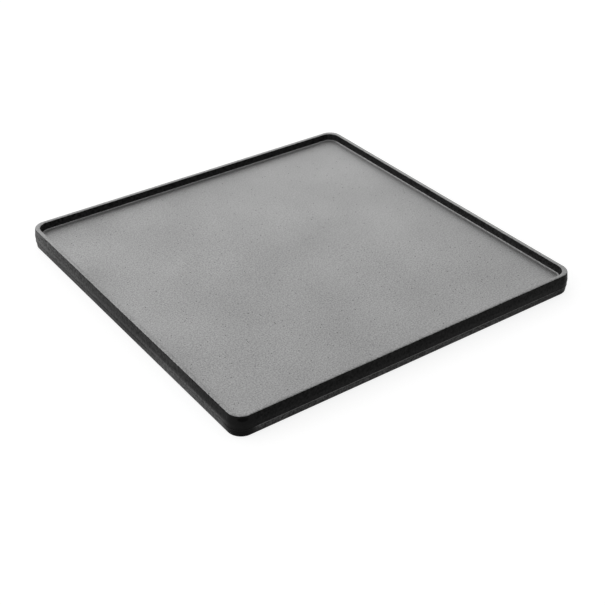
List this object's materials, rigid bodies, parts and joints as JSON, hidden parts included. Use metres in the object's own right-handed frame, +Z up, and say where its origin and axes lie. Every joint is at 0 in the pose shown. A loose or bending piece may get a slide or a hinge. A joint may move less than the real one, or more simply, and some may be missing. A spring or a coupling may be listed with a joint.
{
  "type": "camp griddle plate",
  "caption": "Square cast-iron griddle plate with round corners: a flat pebbled cooking deck inside a low rim, on a tapered skirt that stands on a camp stove or grate.",
  "frame": {"origin": "middle of the standing face, on the surface that the plate stands on", "axes": "+Z up out of the cooking deck, X along the width and Y along the depth"},
  "size_m": [0.32, 0.32, 0.018],
  "materials": {
    "deck_face": "satin as-cast grey, fine pebbled grain",
    "rim_wall": "satin black wall with a grey top face",
    "skirt_band": "satin black, as cast"
  },
  "bodies": {
    "root": {"cooking_deck": "deck_face", "rim": "rim_wall", "skirt": "skirt_band"}
  },
  "joints": []
}
